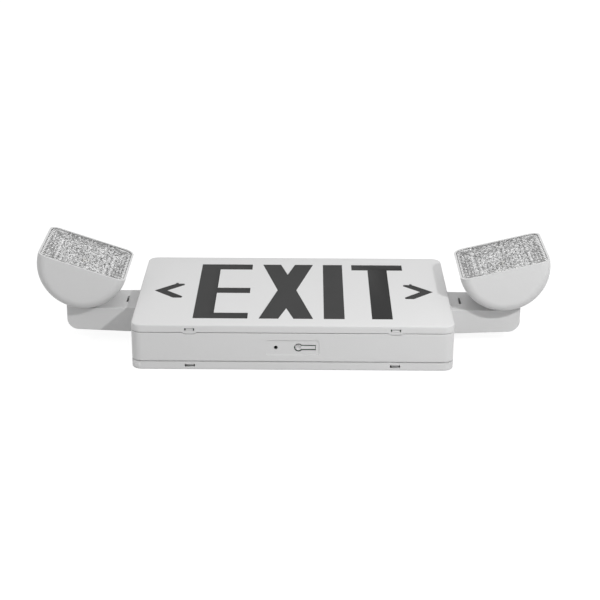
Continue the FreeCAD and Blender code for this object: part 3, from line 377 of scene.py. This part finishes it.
def moulded(name, colour, roughness, grain_scale=2500, grain=0.15, mottle=0.03, metallic=0.0, coat=0.0,
            bump_depth=0.00002, shine=0.5):
    """Material with the moulded skin and its own values."""
    if name in bpy.data.materials:
        return bpy.data.materials[name]
    material = bpy.data.materials.new(name)
    material.use_nodes = True
    nodes, links = material.node_tree.nodes, material.node_tree.links
    shader = nodes["Principled BSDF"]
    shader.inputs["Metallic"].default_value = metallic
    shader.inputs["Coat Weight"].default_value = coat
    shader.inputs["Specular IOR Level"].default_value = shine
    skin = with_skin(material, Colour=(*colour, 1), Roughness=roughness, Grain_Scale=grain_scale,
                     Grain=grain, Mottle=mottle)
    bump = nodes.new("ShaderNodeBump")
    bump.inputs["Distance"].default_value = bump_depth
    links.new(skin.outputs["Colour"], shader.inputs["Base Color"])
    links.new(skin.outputs["Roughness"], shader.inputs["Roughness"])
    links.new(skin.outputs["Height"], bump.inputs["Height"])
    links.new(bump.outputs["Normal"], shader.inputs["Normal"])
    return material


def white_plastic():
    return moulded("white_moulding", bpy.context.scene.exit_light_sign.plastic, 0.42, mottle=0.02)


def clear_moulding():
    """Clear prismatic plastic."""
    name = "clear_moulding"
    if name in bpy.data.materials:
        return bpy.data.materials[name]
    material = bpy.data.materials.new(name)
    material.use_nodes = True
    nodes, links = material.node_tree.nodes, material.node_tree.links
    shader = nodes["Principled BSDF"]
    shader.inputs["Base Color"].default_value = (0.98, 0.98, 0.98, 1)
    shader.inputs["Transmission Weight"].default_value = 1
    shader.inputs["IOR"].default_value = 1.49
    skin = with_skin(material, Roughness=0.0, Mottle=0.02)
    links.new(skin.outputs["Roughness"], shader.inputs["Roughness"])
    return material


def bright_metallising():
    return moulded("bright_metallising", (0.93, 0.93, 0.93), 0.03, grain_scale=900, grain=0.3, mottle=0.06,
                   metallic=1.0, bump_depth=0.00001)


FINISHES = {
    "white_plastic": white_plastic,
    "button": white_plastic,
    "letter_panel": lambda: moulded(
        "letter_panel_tint", bpy.context.scene.exit_light_sign.letters, 0.6, mottle=0.08, shine=0.12),
    "diffuser": lambda: moulded("diffuser_white", (0.82, 0.82, 0.82), 0.6, mottle=0.03),
    "clear_lens": clear_moulding,
    "reflector": bright_metallising,
    # Near-black finish on the dark_recess pieces: painted shade that stands in for the dark inside of recesses,
    # not the colour of a part
    "dark_recess": lambda: moulded("indicator_body", (0.004, 0.004, 0.004), 0.5, mottle=0.1, shine=0.1),
    "board": lambda: moulded(
        "circuit_lacquer", (0.03, 0.16, 0.07), 0.3, grain_scale=700, grain=0.5, mottle=0.25, coat=0.3),
    "light_chip": lambda: moulded(
        "phosphor_resin", (0.80, 0.78, 0.68), 0.45, grain_scale=1800, grain=0.2, mottle=0.1),
    "metal": lambda: moulded(
        "zinc_plate", (0.60, 0.60, 0.61), 0.32, grain_scale=1200, grain=0.3, mottle=0.2, metallic=1.0),
    "transformer": lambda: moulded(
        "varnished_core", (0.10, 0.09, 0.08), 0.4, grain_scale=600, grain=0.6, mottle=0.3),
    "component": lambda: moulded(
        "moulded_case", (0.035, 0.035, 0.038), 0.45, grain_scale=2000, grain=0.3, mottle=0.15),
    "battery_wrap": lambda: moulded(
        "shrink_sleeve", (0.05, 0.16, 0.28), 0.28, grain_scale=500, grain=0.3, mottle=0.12),
}


# ------------------------------------------------------------------------------ stencil shapes
def letter_shapes():
    """Block letters of the word, as outlines in metres."""
    top, low, mid = 0.0737, -0.0772, -0.0010
    e_left, e_stem, e_right = -0.0936, -0.0745, -0.0424
    foot_bar, mid_bar_low, mid_bar_top, head_bar = -0.0622, -0.0096, 0.0053, 0.0579
    letter_e = [(e_left, low), (e_right, low), (e_right, foot_bar), (e_stem, foot_bar),
                (e_stem, mid_bar_low), (e_right, mid_bar_low), (e_right, mid_bar_top), (e_stem, mid_bar_top),
                (e_stem, head_bar), (e_right, head_bar), (e_right, top), (e_left, top)]
    x_left, x_right, foot, waist = -0.0321, 0.0190, 0.0184, 0.0092
    centre, low_notch, top_notch = (x_left + x_right) / 2, -0.0502, 0.0437
    letter_x = [(x_left, low), (x_left + foot, low), (centre, low_notch), (x_right - foot, low),
                (x_right, low), (centre + waist, mid), (x_right, top), (x_right - foot, top),
                (centre, top_notch), (x_left + foot, top), (x_left, top), (centre - waist, mid)]
    i_left, i_right = 0.0289, 0.0484
    letter_i = [(i_left, low), (i_right, low), (i_right, top), (i_left, top)]
    t_left, t_right, t_bar = 0.0578, 0.1091, 0.0574
    stem_left, stem_right = 0.0739, 0.0933
    letter_t = [(stem_left, low), (stem_right, low), (stem_right, t_bar), (t_right, t_bar), (t_right, top),
                (t_left, top), (t_left, t_bar), (stem_left, t_bar)]
    return [letter_e, letter_x, letter_i, letter_t]


def arrow_shape(way):
    """Chevron that points left or right, with the nub of its break-out tab."""
    tip, band, rise, height = 0.1360, 0.0131, 0.0198, -0.0037
    nub_start, nub_end, nub, nub_draft = 0.1138, 0.1163, 0.0023, 0.0003
    end, chamfer = 0.1081, 0.0008
    top, low = height + rise, height - rise
    inner_rise = tip - band - end + chamfer
    outline = [(tip, height), (tip - rise, top), (nub_end, top), (nub_end - nub_draft, top + nub),
               (nub_start, top + nub), (nub_start, top), (end, top), (end - chamfer, height + inner_rise),
               (tip - band, height), (end - chamfer, height - inner_rise), (end, low), (tip - rise, low)]
    return [(way * x, y) for x, y in outline]


def stencil_outlines():
    return letter_shapes() + [arrow_shape(way) for way in WAYS]


# How far a cutting block runs past what it cuts.
OVERRUN, LONG_OVERRUN = 0.001, 0.01

# Latch windows in the long walls of the covers, and the pry tabs under them.
WINDOW_ACROSS, WINDOW_HALF = 0.0954, 0.0047
WINDOW_LOW, WINDOW_TOP = 0.0385, 0.0413
TAB_HALF, TAB_TIP_HALF = 0.0064, 0.0040
TAB_ROOT, TAB_DROP, TAB_THICK = 0.0004, 0.0012, 0.0011

# Places on a lamp head's lens and reflector, in the head's own axes.
LENS_HALF = (0.041, 0.042)
LENS_TOP, LENS_UNDER = -0.0004, -0.0016
LENS_CORNER, LENS_EDGE = 0.0075, 0.0004
PRISM_REACH = (0.0280, 0.0400)
PRISM_SINK = 0.4
FLUTE_REACH = 0.0400
FLUTE_STEPS = 4
MIRROR_HALF = (0.0406, 0.0416)
MIRROR_TOP, MIRROR_DEPTH = -0.0026, 0.0165
MIRROR_FLOOR = MIRROR_TOP - MIRROR_DEPTH
MIRROR_RIM, MIRROR_SLOPE = 0.0012, 0.0264
MIRROR_CORNER, MIRROR_WALL = 0.0085, 0.0009
FLOOR_FACETS = 6
FACET_BULGE, FACET_WANDER, FACET_BAND = 0.0007, 0.00025, 0.0003

# The studio, in metres and in the light's own axes.
LAMP_AIM = (0, 0, 0.03)
KEY_PLACE, KEY_SIZE = (0.57, -0.72, 0.67), 0.05
FILL_PLACE, FILL_SIZE = (-0.8, -1.0, 0.45), 0.5
FLOOR_SIZE, FLOOR_DROP = 24, 0.0002
SHEET_COLOUR, SHEET_GLOW = (0.20, 0.20, 0.20), 0.92
BACKDROP_SPAN = (-0.2, 0.3)
CAMERA_PLACE = (0.014668, -1.432834, 0.578666)
CAMERA_YAW, CAMERA_DIP, CAMERA_ROLL = (math.radians(angle) for angle in (-0.3386, 20.8189, 0.2427))


# ---------------------------------------------------------------------------------- operators
class EXITLIGHT_OT_cover(bpy.types.Operator):
    """Front cover with the word and the arrows cut through it"""
    bl_idname = "exitlight.cover"
    bl_label = "Stencilled cover"

    def execute(self, context):
        sign = context.scene.exit_light_sign
        rim = FRONT_RIM + sign.front_gap
        cover = new_rounded_block("stencil_cover", (BOX_LOW.x, BOX_LOW.y, rim), BOX_HIGH, sign.corner)
        pick(cover, "EDGE", lies_above(BOX_HIGH.z))
        bpy.ops.mesh.bevel(offset=sign.edge, offset_type="OFFSET", segments=4, profile=0.5)
        leave_edit()
        pick(cover, "FACE", looks_down)
        bpy.ops.mesh.inset(thickness=sign.joint_depth, use_even_offset=True)
        bpy.ops.mesh.extrude_region_move(TRANSFORM_OT_translate={"value": (0, 0, -sign.front_gap)})
        bpy.ops.mesh.inset(thickness=sign.wall - sign.joint_depth, use_even_offset=True)
        bpy.ops.mesh.extrude_region_move(
            TRANSFORM_OT_translate={"value": (0, 0, PANEL_TOP - rim + sign.front_gap)})
        leave_edit()
        cut(cover, self.make_tabs(rim, sign), "UNION")
        tools = [new_prism("letter_tool", outline, PANEL_TOP - OVERRUN, BOX_HIGH.z + OVERRUN)
                 for outline in stencil_outlines()]
        for way in WAYS:
            across = way * WINDOW_ACROSS
            tools.append(new_block(
                "window_tool", (across - WINDOW_HALF, BOX_LOW.y - LONG_OVERRUN, WINDOW_LOW),
                (across + WINDOW_HALF, BOX_HIGH.y + LONG_OVERRUN, WINDOW_TOP)))
        cut(cover, tools)
        smooth_by_angle(cover)
        dress(cover, "root", white_plastic(), ["front_cover"])
        return {"FINISHED"}

    def make_tabs(self, rim, sign):
        """Pry tabs that bridge the joint under the latch windows."""
        tabs = []
        root, shoulder, tip = rim + TAB_ROOT, rim - sign.front_gap, rim - TAB_DROP
        half_outline = [(TAB_TIP_HALF, tip), (TAB_HALF, shoulder), (TAB_HALF, root)]
        for way in WAYS:
            across = way * WINDOW_ACROSS
            outline = [(across - half, height) for half, height in reversed(half_outline)]
            outline += [(across + half, height) for half, height in half_outline]
            for wall in (BOX_LOW.y, BOX_HIGH.y - TAB_THICK):
                tabs.append(stand_up(new_prism("pry_tab", outline, -wall - TAB_THICK, -wall)))
        return tabs


class EXITLIGHT_OT_panel(bpy.types.Operator):
    """Letter panel with letters raised into the cover, almost level with its face"""
    bl_idname = "exitlight.panel"
    bl_label = "Raised letters"

    def execute(self, context):
        panel = copy_of("letter_panel", "raised_letter_panel")
        level = BOX_HIGH.z - context.scene.exit_light_sign.letter_depth
        cut(panel, [new_prism("letter_block", outline, PANEL_TOP - OVERRUN / 2, level)
                    for outline in stencil_outlines()], "UNION")
        smooth_by_angle(panel)
        dress(panel, "root", FINISHES["letter_panel"](), ["letter_panel"])
        return {"FINISHED"}


class EXITLIGHT_OT_button(bpy.types.Operator):
    """Test button on its tongue, trimmed so that the slot round it shows dark"""
    bl_idname = "exitlight.button"
    bl_label = "Test button"

    def execute(self, context):
        ease = context.scene.exit_light_sign.button_ease
        button = copy_of("test_button", "press_tongue")
        pick(button, "FACE", any_face)
        bpy.ops.transform.shrink_fatten(value=-ease, use_even_offset=True)
        leave_edit()
        smooth_by_angle(button)
        dress(button, "test_button", white_plastic(), ["test_button"])
        return {"FINISHED"}


class EXITLIGHT_OT_back(bpy.types.Operator):
    """Back cover with an open joint under the frame"""
    bl_idname = "exitlight.back"
    bl_label = "Back shell"

    def execute(self, context):
        sign = context.scene.exit_light_sign
        shell = copy_of("back_cover", "back_shell")
        low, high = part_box("back_cover")
        ring = new_block(
            "joint_tool", (low.x - OVERRUN, low.y - OVERRUN, BACK_RIM - sign.back_gap),
            (high.x + OVERRUN, high.y + OVERRUN, BACK_RIM + OVERRUN))
        inset = sign.joint_depth
        core = new_rounded_block(
            "core_tool", (low.x + inset, low.y + inset, low.z - OVERRUN),
            (high.x - inset, high.y - inset, BACK_RIM + 2 * OVERRUN), sign.corner - inset)
        cut(ring, [core])
        cut(shell, [ring])
        smooth_by_angle(shell)
        dress(shell, "root", white_plastic(), ["back_cover"])
        return {"FINISHED"}


class EXITLIGHT_OT_lenses(bpy.types.Operator):
    """Clear lens of each lamp head, with a field of small prisms inside"""
    bl_idname = "exitlight.lenses"
    bl_label = "Prismatic lenses"

    def execute(self, context):
        head = context.scene.exit_light_head
        for side in SIDES:
            lens = self.make_lens(side, head)
            move_mesh(lens, head_place(side))
            smooth_by_angle(lens, 20)
            dress(lens, f"head_{side}", clear_moulding(), [f"lens_{side}"])
        return {"FINISHED"}

    def make_lens(self, side, head):
        chance = random.Random(f"lens {side}")
        plate = new_block(f"prismatic_lens_{side}", (-LENS_HALF[0], -LENS_HALF[1], LENS_UNDER),
                          (*LENS_HALF, LENS_TOP))
        pick(plate, "FACE", looks_down)
        bpy.ops.mesh.subdivide(number_cuts=head.cells - 1)
        leave_edit()
        self.press_flutes(plate, head)
        pick(plate, "FACE", lambda face: self.is_in(face, (0, PRISM_REACH[0])))
        bpy.ops.mesh.poke(offset=head.prism_depth)
        leave_edit()
        for vertex in plate.data.vertices:
            if vertex.co.z < LENS_UNDER - 0.99 * head.prism_depth:
                vertex.co += Vector((chance.uniform(-1, 1), chance.uniform(-1, 1), 0)) * head.prism_wander
                vertex.co.z += chance.uniform(0, PRISM_SINK) * head.prism_depth
        outline = new_rounded_block(
            "lens_outline", (-LENS_HALF[0], -LENS_HALF[1], -LONG_OVERRUN),
            (*LENS_HALF, LONG_OVERRUN), LENS_CORNER, 10)
        cut(plate, [outline], "INTERSECT")
        pick(plate, "EDGE", lies_above(LENS_TOP))
        bpy.ops.mesh.bevel(offset=LENS_EDGE, offset_type="OFFSET", segments=2, profile=0.5)
        leave_edit()
        return plate

    def is_in(self, face, span):
        """Whether a face of the underside lies in a span across the lens."""
        place = face.calc_center_median()
        return looks_down(face) and span[0] < abs(place.x) < span[1] and abs(place.y) < PRISM_REACH[1]

    def press_flutes(self, plate, head):
        """Turn the cells beside the prisms into flutes that run along X."""
        pick(plate, "FACE", lambda face: self.is_in(face, (PRISM_REACH[0], FLUTE_REACH)))
        bpy.ops.mesh.subdivide(number_cuts=FLUTE_STEPS - 1)
        leave_edit()
        pitch = 2 * LENS_HALF[1] / head.cells
        for vertex in plate.data.vertices:
            row = ((vertex.co.y + LENS_HALF[1]) / pitch) % 1
            beside = PRISM_REACH[0] - pitch < abs(vertex.co.x) < FLUTE_REACH
            if beside and abs(vertex.co.z - LENS_UNDER) < WELD and abs(vertex.co.y) < FLUTE_REACH:
                vertex.co.z -= head.flute_depth * (1 - abs(2 * row - 1))


class EXITLIGHT_OT_reflectors(bpy.types.Operator):
    """Bright reflector of each lamp head, broken into small facets"""
    bl_idname = "exitlight.reflectors"
    bl_label = "Faceted reflectors"

    def execute(self, context):
        head = context.scene.exit_light_head
        for side in SIDES:
            reflector = self.make_reflector(side, head)
            move_mesh(reflector, head_place(side))
            dress(reflector, f"head_{side}", bright_metallising(), [f"reflector_{side}"])
        return {"FINISHED"}

    def make_reflector(self, side, head):
        chance = random.Random(f"reflector {side}")
        deselect_all()
        bpy.ops.mesh.primitive_plane_add(size=1, location=(0, 0, MIRROR_TOP))
        reflector = named(f"faceted_reflector_{side}")
        for vertex in reflector.data.vertices:
            x, y, _ = vertex.co
            vertex.co = (math.copysign(MIRROR_HALF[0], x), math.copysign(MIRROR_HALF[1], y), 0)
        bpy.ops.object.transform_apply(location=True, rotation=True, scale=True)
        pick(reflector, "FACE", any_face)
        bpy.ops.mesh.inset(thickness=MIRROR_RIM)
        bpy.ops.mesh.inset(thickness=MIRROR_SLOPE)
        bpy.ops.transform.translate(value=(0, 0, -MIRROR_DEPTH))
        leave_edit()
        pick(reflector, "FACE", lambda face: abs(face.normal.z) < 0.95)
        bpy.ops.mesh.subdivide(number_cuts=head.facets - 1)
        leave_edit()
        pick(reflector, "FACE", lambda face: face.calc_center_median().z < MIRROR_FLOOR + FACET_BAND)
        bpy.ops.mesh.subdivide(number_cuts=FLOOR_FACETS - 1)
        leave_edit()
        pick(reflector, "FACE", lambda face: face.calc_center_median().z < MIRROR_TOP - FACET_BAND)
        bpy.ops.mesh.poke(offset=FACET_BULGE)
        leave_edit()
        for vertex in reflector.data.vertices:
            if MIRROR_FLOOR + FACET_BAND < vertex.co.z < MIRROR_TOP - 2 * FACET_BAND:
                vertex.co.z += chance.uniform(-FACET_WANDER, FACET_WANDER)
        finish_modifier(reflector, "SOLIDIFY", thickness=MIRROR_WALL, offset=-1)
        outline = new_rounded_block(
            "reflector_outline", (-MIRROR_HALF[0], -MIRROR_HALF[1], -3 * LONG_OVERRUN),
            (*MIRROR_HALF, OVERRUN), MIRROR_CORNER, 10)
        cut(reflector, [outline], "INTERSECT")
        return reflector


class EXITLIGHT_OT_finishes(bpy.types.Operator):
    """Give every solid of the frame its finish"""
    bl_idname = "exitlight.finishes"
    bl_label = "Finishes"

    def execute(self, context):
        slots = {part["node"]: part["material_slot"] for part in frame["record"]["subparts"]}
        for name, node in frame["nodes"].items():
            node.data.materials.clear()
            node.data.materials.append(FINISHES[slots[name]]())
        return {"FINISHED"}


def add_lamp(name, place, size, power):
    """Square lamp of a size, aimed at the light."""
    data = bpy.data.lights.new(name, "AREA")
    data.shape = "RECTANGLE"
    data.size = data.size_y = size
    data.energy = power
    lamp = bpy.data.objects.new(name, data)
    bpy.context.scene.collection.objects.link(lamp)
    lamp.location = place
    lamp.rotation_euler = (Vector(LAMP_AIM) - Vector(place)).to_track_quat("-Z", "Y").to_euler()


class EXITLIGHT_OT_studio(bpy.types.Operator):
    """Pale floor, soft lamps and the camera"""
    bl_idname = "exitlight.studio"
    bl_label = "Studio"

    def execute(self, context):
        stage = context.scene.exit_light_stage
        self.make_floor(stage)
        self.make_sky(stage)
        add_lamp("key_lamp", KEY_PLACE, KEY_SIZE, stage.key)
        add_lamp("fill_lamp", FILL_PLACE, FILL_SIZE, stage.fill)
        self.make_camera(stage)
        context.scene.view_settings.view_transform = "Standard"
        return {"FINISHED"}

    def make_floor(self, stage):
        deselect_all()
        bpy.ops.mesh.primitive_plane_add(size=FLOOR_SIZE, location=(0, 0, CAD_BOX[0].z - FLOOR_DROP))
        floor = named("floor")
        bpy.ops.object.transform_apply(location=True, rotation=True, scale=True)
        material = bpy.data.materials.new("studio_floor")
        material.use_nodes = True
        nodes, links = material.node_tree.nodes, material.node_tree.links
        nodes.clear()
        output = nodes.new("ShaderNodeOutputMaterial")
        plain = nodes.new("ShaderNodeBsdfDiffuse")
        plain.inputs["Color"].default_value = (*stage.floor, 1)
        sheet = nodes.new("ShaderNodeBsdfDiffuse")
        sheet.inputs["Color"].default_value = (*SHEET_COLOUR, 1)
        glow = nodes.new("ShaderNodeEmission")
        glow.inputs["Strength"].default_value = SHEET_GLOW
        lit = nodes.new("ShaderNodeAddShader")
        links.new(sheet.outputs[0], lit.inputs[0])
        links.new(glow.outputs[0], lit.inputs[1])
        mix = nodes.new("ShaderNodeMixShader")
        links.new(self.seen_ray(material.node_tree), mix.inputs[0])
        links.new(plain.outputs[0], mix.inputs[1])
        links.new(lit.outputs[0], mix.inputs[2])
        links.new(mix.outputs[0], output.inputs["Surface"])
        floor.data.materials.append(material)

    def seen_ray(self, tree):
        """One for rays from the camera, also by way of metal or glass."""
        path = tree.nodes.new("ShaderNodeLightPath").outputs
        seen = calculate(tree, "MAXIMUM", path["Is Camera Ray"], path["Is Glossy Ray"])
        return calculate(tree, "MAXIMUM", seen, path["Is Transmission Ray"])

    def make_sky(self, stage):
        world = bpy.data.worlds.new("studio_sky")
        bpy.context.scene.world = world
        world.use_nodes = True
        nodes, links = world.node_tree.nodes, world.node_tree.links
        nodes.clear()
        output = nodes.new("ShaderNodeOutputWorld")
        soft, white = nodes.new("ShaderNodeBackground"), nodes.new("ShaderNodeBackground")
        for background in (soft, white):
            background.inputs["Color"].default_value = (1, 1, 1, 1)
        place, split = nodes.new("ShaderNodeTexCoord"), nodes.new("ShaderNodeSeparateXYZ")
        links.new(place.outputs["Generated"], split.inputs[0])
        path, level = nodes.new("ShaderNodeLightPath"), nodes.new("ShaderNodeMath")
        level.operation = "MAXIMUM"
        for axis, span, end in (("Z", (0, 1, stage.horizon, stage.sky), soft.inputs["Strength"]),
                                ("Y", (*BACKDROP_SPAN, stage.room, 1), level.inputs[0])):
            fade = nodes.new("ShaderNodeMapRange")
            for limit, value in zip(("From Min", "From Max", "To Min", "To Max"), span):
                fade.inputs[limit].default_value = value
            links.new(split.outputs[axis], fade.inputs["Value"])
            links.new(fade.outputs[0], end)
        links.new(path.outputs["Is Camera Ray"], level.inputs[1])
        links.new(level.outputs[0], white.inputs["Strength"])
        mix = nodes.new("ShaderNodeMixShader")
        links.new(self.seen_ray(world.node_tree), mix.inputs[0])
        links.new(soft.outputs[0], mix.inputs[1])
        links.new(white.outputs[0], mix.inputs[2])
        links.new(mix.outputs[0], output.inputs["Surface"])

    def make_camera(self, stage):
        data = bpy.data.cameras.new("camera")
        data.sensor_width = 36
        data.lens = stage.lens
        data.clip_start, data.clip_end = 0.05, 60
        camera = bpy.data.objects.new("camera", data)
        bpy.context.scene.collection.objects.link(camera)
        yaw, dip, roll = CAMERA_YAW, CAMERA_DIP, CAMERA_ROLL
        forward = Vector((math.sin(yaw) * math.cos(dip), math.cos(yaw) * math.cos(dip), -math.sin(dip)))
        level = Vector((math.cos(yaw), -math.sin(yaw), 0))
        upward = level.cross(forward)
        right = level * math.cos(roll) + upward * math.sin(roll)
        top = upward * math.cos(roll) - level * math.sin(roll)
        turn = Matrix((right, top, -forward)).transposed().to_4x4()
        camera.matrix_world = Matrix.Translation(CAMERA_PLACE) @ turn
        bpy.context.scene.camera = camera


OPERATORS = (EXITLIGHT_OT_finishes, EXITLIGHT_OT_cover, EXITLIGHT_OT_panel, EXITLIGHT_OT_button,
             EXITLIGHT_OT_back, EXITLIGHT_OT_lenses, EXITLIGHT_OT_reflectors, EXITLIGHT_OT_studio)


class EXITLIGHT_PT_panel(bpy.types.Panel):
    """Pieces and settings of the exit light"""
    bl_idname = "EXITLIGHT_PT_panel"
    bl_label = "Exit Light"
    bl_space_type = "VIEW_3D"
    bl_region_type = "UI"
    bl_category = "Exit Light"

    def draw(self, context):
        for operator in OPERATORS:
            self.layout.operator(operator.bl_idname)
        for group in GROUPS:
            settings = getattr(context.scene, group)
            for name in settings.bl_rna.properties.keys():
                if name not in ("rna_type", "name"):
                    self.layout.prop(settings, name)


GROUPS = {
    "exit_light_sign": ExitLightSign,
    "exit_light_head": ExitLightHead,
    "exit_light_stage": ExitLightStage,
}
CLASSES = (*GROUPS.values(), *OPERATORS, EXITLIGHT_PT_panel)


def register():
    for cls in CLASSES:
        bpy.utils.register_class(cls)
    for name, cls in GROUPS.items():
        setattr(bpy.types.Scene, name, PointerProperty(type=cls))


def unregister():
    for name in GROUPS:
        delattr(bpy.types.Scene, name)
    for cls in reversed(CLASSES):
        bpy.utils.unregister_class(cls)


def main():
    register()
    for operator in OPERATORS:
        group, name = operator.bl_idname.split(".")
        getattr(getattr(bpy.ops, group), name)()


if __name__ == "__main__":
    main()
